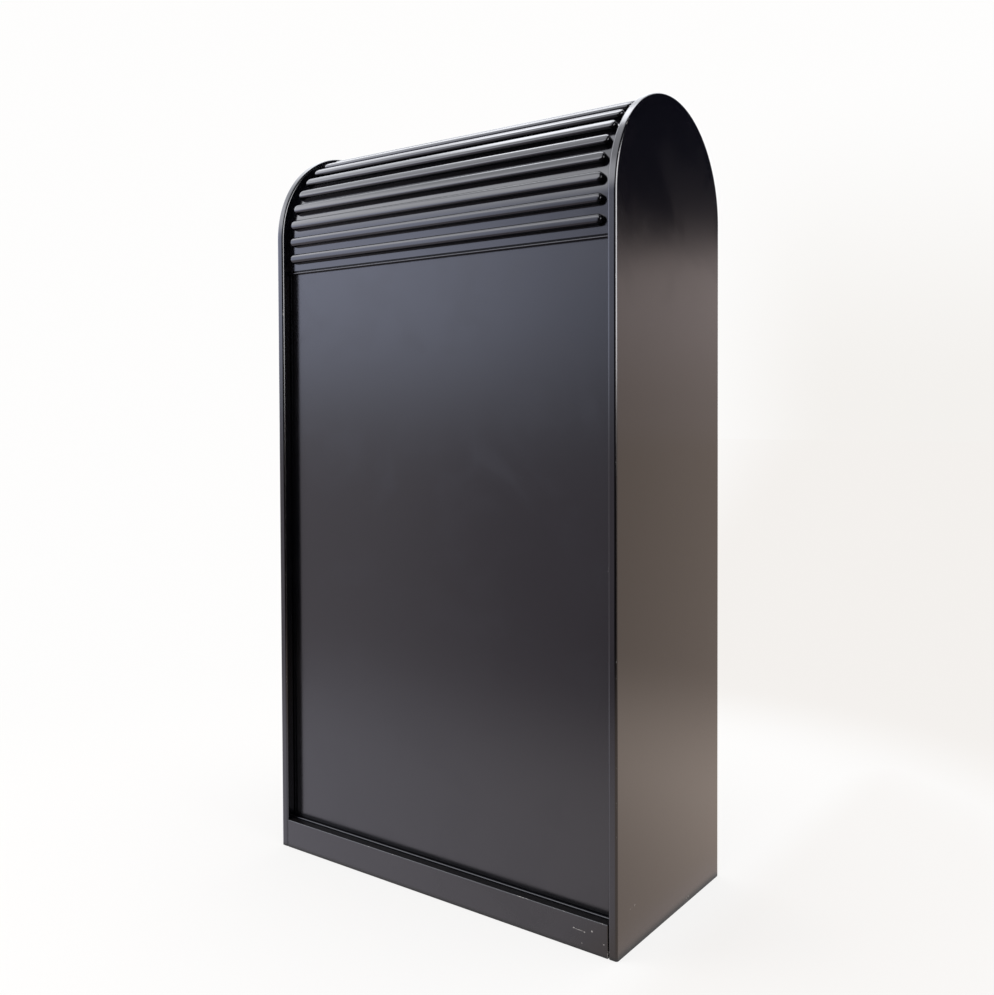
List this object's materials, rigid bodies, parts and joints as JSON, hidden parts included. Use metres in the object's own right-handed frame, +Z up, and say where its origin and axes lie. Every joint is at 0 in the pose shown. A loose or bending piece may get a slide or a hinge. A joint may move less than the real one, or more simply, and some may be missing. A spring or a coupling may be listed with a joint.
{
  "type": "tambour door cabinet",
  "caption": "Tall round-topped cupboard whose ribbed roller shutter slides up the front, over the arched top and down outside a flat rear panel; shelves inside.",
  "frame": {"origin": "on the floor, under the centre of the cabinet's footprint", "axes": "+Z up, +Y towards the shutter's opening side, +X to the right of someone who faces the flat rear panel"},
  "size_m": [0.76, 0.38, 1.39],
  "materials": {
    "black_lacquer": "satin black lacquer on board",
    "panel_lacquer": "satin black lacquer on thin board",
    "shutter_black": "semi-gloss black",
    "steel_pin": "zinc-plated",
    "beech": "bare, glued"
  },
  "bodies": {
    "carcass": {"side_panel_left": "black_lacquer", "side_panel_right": "black_lacquer", "plinth_rear": "black_lacquer", "plinth_front": "black_lacquer", "floor_board": "black_lacquer", "top_board": "black_lacquer", "dowel_floor_rear_left": "beech", "dowel_floor_rear_right": "beech", "dowel_floor_front_left": "beech", "dowel_floor_front_right": "beech", "dowel_top_rear_left": "beech", "dowel_top_rear_right": "beech", "dowel_top_front_left": "beech", "dowel_top_front_right": "beech", "rear_panel": "panel_lacquer", "shelf_1": "black_lacquer", "shelf_2": "black_lacquer", "shelf_1_pin_rear_left": "steel_pin", "shelf_1_pin_rear_right": "steel_pin", "shelf_1_pin_front_left": "steel_pin", "shelf_1_pin_front_right": "steel_pin", "shelf_2_pin_rear_left": "steel_pin", "shelf_2_pin_rear_right": "steel_pin", "shelf_2_pin_front_left": "steel_pin", "shelf_2_pin_front_right": "steel_pin", "shutter_arch_sheet": "shutter_black", "shutter_arch_rib_01": "shutter_black", "shutter_arch_rib_02": "shutter_black", "shutter_arch_rib_03": "shutter_black", "shutter_arch_rib_04": "shutter_black", "shutter_arch_rib_05": "shutter_black", "shutter_arch_rib_06": "shutter_black", "shutter_arch_rib_07": "shutter_black", "shutter_arch_rib_08": "shutter_black", "shutter_arch_rib_09": "shutter_black", "shutter_arch_rib_10": "shutter_black", "shutter_arch_rib_11": "shutter_black", "shutter_arch_rib_12": "shutter_black", "shutter_arch_rib_13": "shutter_black", "shutter_arch_rib_14": "shutter_black", "shutter_arch_rib_15": "shutter_black", "shutter_arch_rib_16": "shutter_black", "shutter_arch_rib_17": "shutter_black", "shutter_arch_rib_18": "shutter_black", "shutter_arch_rib_19": "shutter_black", "shutter_front_run": "shutter_black"},
    "lead": {"lead_rail": "black_lacquer"},
    "tail": {"tail_rail": "black_lacquer"}
  },
  "joints": [
    {"name": "shutter_lift", "type": "slide", "parent": "carcass", "child": "lead", "axis": [0, 0, 1], "range_m": [0, 1.0624], "deforming": ["shutter_front_run"]},
    {"name": "shutter_tail_drop", "type": "slide", "parent": "carcass", "child": "tail", "axis": [0, 0, -1], "range_m": [0, 1.0624]}
  ],
  "couplings": [
    {"joint": "shutter_tail_drop", "follows": "shutter_lift", "ratio": 1}
  ]
}
